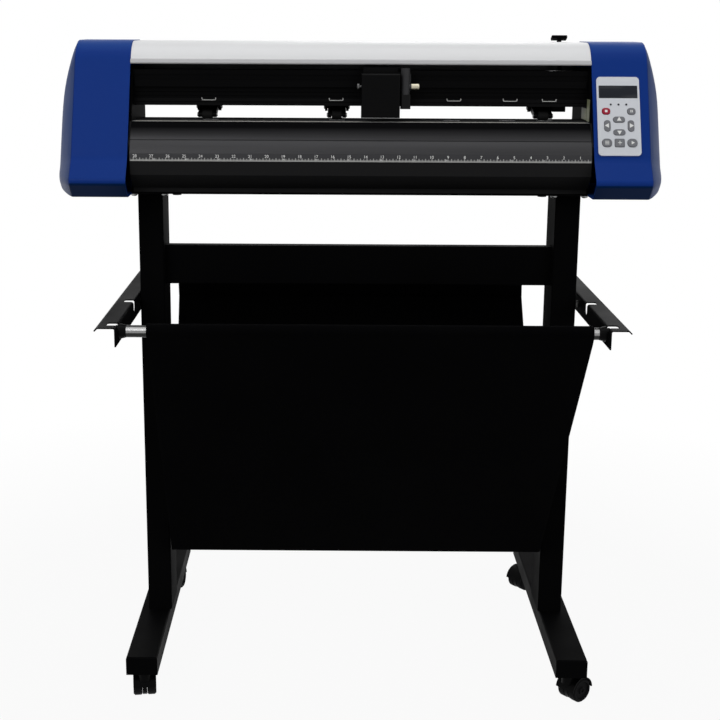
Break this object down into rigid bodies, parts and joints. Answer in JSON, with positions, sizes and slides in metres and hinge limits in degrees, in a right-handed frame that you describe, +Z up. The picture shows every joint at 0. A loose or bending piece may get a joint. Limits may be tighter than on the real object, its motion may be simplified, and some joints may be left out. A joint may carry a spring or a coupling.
{
  "type": "roll-fed vinyl cutter on a wheeled stand",
  "caption": "Roll-fed vinyl cutter on a wheeled stand, with a blade carriage on a crossbeam, pinch rollers over a grit shaft, a keypad end cover and a cloth catch basket.",
  "frame": {"origin": "on the floor, under the middle of the whole machine and stand", "axes": "+Z up, front towards -Y, +X to the operator's right where the keypad is"},
  "size_m": [0.949, 0.604, 1.0518],
  "materials": {
    "black_steel": "satin",
    "steel": "satin",
    "black_plastic": "matte",
    "caster_tread": "matte",
    "pinch_rubber": "matte",
    "basket_fabric": "matte",
    "bed_grey": "satin",
    "ruler_dark": "satin",
    "beam_black": "satin",
    "body_blue": "gloss",
    "cap_grey": "satin",
    "cover_white": "satin",
    "tool_steel": "satin",
    "knob_brass": "satin",
    "panel_pale": "satin",
    "key_grey": "satin",
    "key_red": "satin"
  },
  "bodies": {
    "machine_and_stand": {"foot_left": "black_steel", "foot_right": "black_steel", "upright_left": "black_steel", "upright_right": "black_steel", "cross_panel": "black_steel", "media_arm_left": "black_steel", "media_arm_right": "black_steel", "basket_rods": "steel", "rod_end_plugs": "black_plastic", "catch_basket": "basket_fabric", "base_pan": "black_steel", "side_plates": "black_steel", "platen": "bed_grey", "front_apron": "bed_grey", "ruler_strip": "ruler_dark", "rear_apron": "bed_grey", "beam": "beam_black", "end_cover_left": "body_blue", "end_cover_right": "body_blue", "side_caps": "cap_grey", "top_cover": "cover_white", "drive_motors": "steel", "carriage_belt": "pinch_rubber", "control_panel": "panel_pale", "power_inlet": "black_plastic"},
    "caster_hood_front_left": {"caster_hood_front_left": "black_plastic"},
    "caster_wheels_front_left": {"caster_wheels_front_left": "caster_tread"},
    "caster_hood_front_right": {"caster_hood_front_right": "black_plastic"},
    "caster_wheels_front_right": {"caster_wheels_front_right": "caster_tread"},
    "caster_hood_rear_left": {"caster_hood_rear_left": "black_plastic"},
    "caster_wheels_rear_left": {"caster_wheels_rear_left": "caster_tread"},
    "caster_hood_rear_right": {"caster_hood_rear_right": "black_plastic"},
    "caster_wheels_rear_right": {"caster_wheels_rear_right": "caster_tread"},
    "grit_shaft": {"grit_shaft": "steel"},
    "carriage": {"carriage": "black_plastic", "carriage_cover": "black_plastic"},
    "tool_holder": {"tool_holder": "tool_steel"},
    "clamp_knob": {"clamp_knob": "knob_brass"},
    "carriage_drive_pulley": {"carriage_drive_pulley": "black_plastic"},
    "carriage_idler_pulley": {"carriage_idler_pulley": "black_plastic"},
    "pinch_lever": {"pinch_lever": "black_steel"},
    "pinch_bracket_left": {"pinch_bracket_left": "beam_black"},
    "pinch_arm_left": {"pinch_arm_left": "black_plastic"},
    "pinch_wheel_left": {"pinch_wheel_left": "pinch_rubber"},
    "pinch_bracket_middle": {"pinch_bracket_middle": "beam_black"},
    "pinch_arm_middle": {"pinch_arm_middle": "black_plastic"},
    "pinch_wheel_middle": {"pinch_wheel_middle": "pinch_rubber"},
    "pinch_bracket_right": {"pinch_bracket_right": "beam_black"},
    "pinch_arm_right": {"pinch_arm_right": "black_plastic"},
    "pinch_wheel_right": {"pinch_wheel_right": "pinch_rubber"},
    "stop_key": {"stop_key": "key_red"},
    "pause_key": {"pause_key": "key_grey"},
    "up_key": {"up_key": "key_grey"},
    "down_key": {"down_key": "key_grey"},
    "left_key": {"left_key": "key_grey"},
    "right_key": {"right_key": "key_grey"},
    "menu_key": {"menu_key": "key_grey"},
    "zero_key": {"zero_key": "key_grey"},
    "enter_key": {"enter_key": "key_grey"},
    "power_rocker": {"power_rocker": "black_plastic"}
  },
  "joints": [
    {"name": "swivel_front_left", "type": "hinge", "parent": "machine_and_stand", "child": "caster_hood_front_left", "pos_m": [-0.343, -0.204, 0.06], "axis": [0, 0, 1], "continuous": true},
    {"name": "roll_front_left", "type": "hinge", "parent": "caster_hood_front_left", "child": "caster_wheels_front_left", "pos_m": [-0.34523, -0.18816, 0.02], "axis": [0.9903, 0.1392, 0], "continuous": true},
    {"name": "swivel_front_right", "type": "hinge", "parent": "machine_and_stand", "child": "caster_hood_front_right", "pos_m": [0.343, -0.204, 0.06], "axis": [0, 0, 1], "continuous": true},
    {"name": "roll_front_right", "type": "hinge", "parent": "caster_hood_front_right", "child": "caster_wheels_front_right", "pos_m": [0.35561, -0.19415, 0.02], "axis": [0.6157, -0.788, 0], "continuous": true},
    {"name": "swivel_rear_left", "type": "hinge", "parent": "machine_and_stand", "child": "caster_hood_rear_left", "pos_m": [-0.343, 0.272, 0.06], "axis": [0, 0, 1], "continuous": true},
    {"name": "roll_rear_left", "type": "hinge", "parent": "caster_hood_rear_left", "child": "caster_wheels_rear_left", "pos_m": [-0.34578, 0.25624, 0.02], "axis": [-0.9848, 0.1736, 0], "continuous": true},
    {"name": "swivel_rear_right", "type": "hinge", "parent": "machine_and_stand", "child": "caster_hood_rear_right", "pos_m": [0.343, 0.272, 0.06], "axis": [0, 0, 1], "continuous": true},
    {"name": "roll_rear_right", "type": "hinge", "parent": "caster_hood_rear_right", "child": "caster_wheels_rear_right", "pos_m": [0.33039, 0.26215, 0.02], "axis": [-0.6157, 0.788, 0], "continuous": true},
    {"name": "feed_turn", "type": "hinge", "parent": "machine_and_stand", "child": "grit_shaft", "pos_m": [0, -0.036, 0.9105], "axis": [1, 0, 0], "continuous": true},
    {"name": "carriage_travel", "type": "slide", "parent": "machine_and_stand", "child": "carriage", "axis": [1, 0, 0], "range_m": [-0.35, 0.262]},
    {"name": "tool_drop", "type": "slide", "parent": "carriage", "child": "tool_holder", "axis": [0, 0, 1], "range_m": [-0.006, 0], "stiffness_N_per_m": 150, "springref_m": 0.005},
    {"name": "clamp_turn", "type": "hinge", "parent": "tool_holder", "child": "clamp_knob", "pos_m": [0.08, -0.074, 0.974], "axis": [1, 0, 0], "continuous": true},
    {"name": "drive_pulley_turn", "type": "hinge", "parent": "machine_and_stand", "child": "carriage_drive_pulley", "pos_m": [0.382, -0.034, 1.01], "axis": [0, 0, 1], "continuous": true},
    {"name": "idler_pulley_turn", "type": "hinge", "parent": "machine_and_stand", "child": "carriage_idler_pulley", "pos_m": [-0.382, -0.034, 1.01], "axis": [0, 0, 1], "continuous": true},
    {"name": "lever_lift", "type": "hinge", "parent": "machine_and_stand", "child": "pinch_lever", "pos_m": [0, 0.024, 0.952], "axis": [1, 0, 0], "range_deg": [-25, 0]},
    {"name": "bracket_slide_left", "type": "slide", "parent": "machine_and_stand", "child": "pinch_bracket_left", "axis": [1, 0, 0], "range_m": [-0.09, 0.102]},
    {"name": "arm_lift_left", "type": "hinge", "parent": "pinch_bracket_left", "child": "pinch_arm_left", "pos_m": [-0.242, 0.004, 0.938], "axis": [1, 0, 0], "range_deg": [-4.5, 0]},
    {"name": "pinch_turn_left", "type": "hinge", "parent": "pinch_arm_left", "child": "pinch_wheel_left", "pos_m": [-0.242, -0.036, 0.9278], "axis": [1, 0, 0], "continuous": true},
    {"name": "bracket_slide_middle", "type": "slide", "parent": "machine_and_stand", "child": "pinch_bracket_middle", "axis": [1, 0, 0], "range_m": [-0.063, 0.219]},
    {"name": "arm_lift_middle", "type": "hinge", "parent": "pinch_bracket_middle", "child": "pinch_arm_middle", "pos_m": [-0.0365, 0.004, 0.938], "axis": [1, 0, 0], "range_deg": [-4.5, 0]},
    {"name": "pinch_turn_middle", "type": "hinge", "parent": "pinch_arm_middle", "child": "pinch_wheel_middle", "pos_m": [-0.0365, -0.036, 0.9278], "axis": [1, 0, 0], "continuous": true},
    {"name": "bracket_slide_right", "type": "slide", "parent": "machine_and_stand", "child": "pinch_bracket_right", "axis": [1, 0, 0], "range_m": [-0.068, 0.016]},
    {"name": "arm_lift_right", "type": "hinge", "parent": "pinch_bracket_right", "child": "pinch_arm_right", "pos_m": [0.29, 0.004, 0.938], "axis": [1, 0, 0], "range_deg": [-4.5, 0]},
    {"name": "pinch_turn_right", "type": "hinge", "parent": "pinch_arm_right", "child": "pinch_wheel_right", "pos_m": [0.29, -0.036, 0.9278], "axis": [1, 0, 0], "continuous": true},
    {"name": "stop_key_press", "type": "slide", "parent": "machine_and_stand", "child": "stop_key", "axis": [0, 0.9099, -0.4148], "range_m": [0, 0.001], "stiffness_N_per_m": 400, "springref_m": -0.001},
    {"name": "pause_key_press", "type": "slide", "parent": "machine_and_stand", "child": "pause_key", "axis": [0, 0.9099, -0.4148], "range_m": [0, 0.001], "stiffness_N_per_m": 400, "springref_m": -0.001},
    {"name": "up_key_press", "type": "slide", "parent": "machine_and_stand", "child": "up_key", "axis": [0, 0.9099, -0.4148], "range_m": [0, 0.001], "stiffness_N_per_m": 400, "springref_m": -0.001},
    {"name": "down_key_press", "type": "slide", "parent": "machine_and_stand", "child": "down_key", "axis": [0, 0.9099, -0.4148], "range_m": [0, 0.001], "stiffness_N_per_m": 400, "springref_m": -0.001},
    {"name": "left_key_press", "type": "slide", "parent": "machine_and_stand", "child": "left_key", "axis": [0, 0.9099, -0.4148], "range_m": [0, 0.001], "stiffness_N_per_m": 400, "springref_m": -0.001},
    {"name": "right_key_press", "type": "slide", "parent": "machine_and_stand", "child": "right_key", "axis": [0, 0.9099, -0.4148], "range_m": [0, 0.001], "stiffness_N_per_m": 400, "springref_m": -0.001},
    {"name": "menu_key_press", "type": "slide", "parent": "machine_and_stand", "child": "menu_key", "axis": [0, 0.9099, -0.4148], "range_m": [0, 0.001], "stiffness_N_per_m": 400, "springref_m": -0.001},
    {"name": "zero_key_press", "type": "slide", "parent": "machine_and_stand", "child": "zero_key", "axis": [0, 0.9099, -0.4148], "range_m": [0, 0.001], "stiffness_N_per_m": 400, "springref_m": -0.001},
    {"name": "enter_key_press", "type": "slide", "parent": "machine_and_stand", "child": "enter_key", "axis": [0, 0.9099, -0.4148], "range_m": [0, 0.001], "stiffness_N_per_m": 400, "springref_m": -0.001},
    {"name": "rocker_switch", "type": "hinge", "parent": "machine_and_stand", "child": "power_rocker", "pos_m": [0.402, 0.088, 0.865], "axis": [1, 0, 0], "range_deg": [-9, 0]}
  ],
  "couplings": [
    {"joint": "drive_pulley_turn", "follows": "carriage_travel", "rad_per_m": 92.6},
    {"joint": "idler_pulley_turn", "follows": "carriage_travel", "rad_per_m": 92.6},
    {"joint": "arm_lift_left", "follows": "lever_lift", "ratio": 0.18},
    {"joint": "arm_lift_middle", "follows": "lever_lift", "ratio": 0.18},
    {"joint": "arm_lift_right", "follows": "lever_lift", "ratio": 0.18}
  ]
}
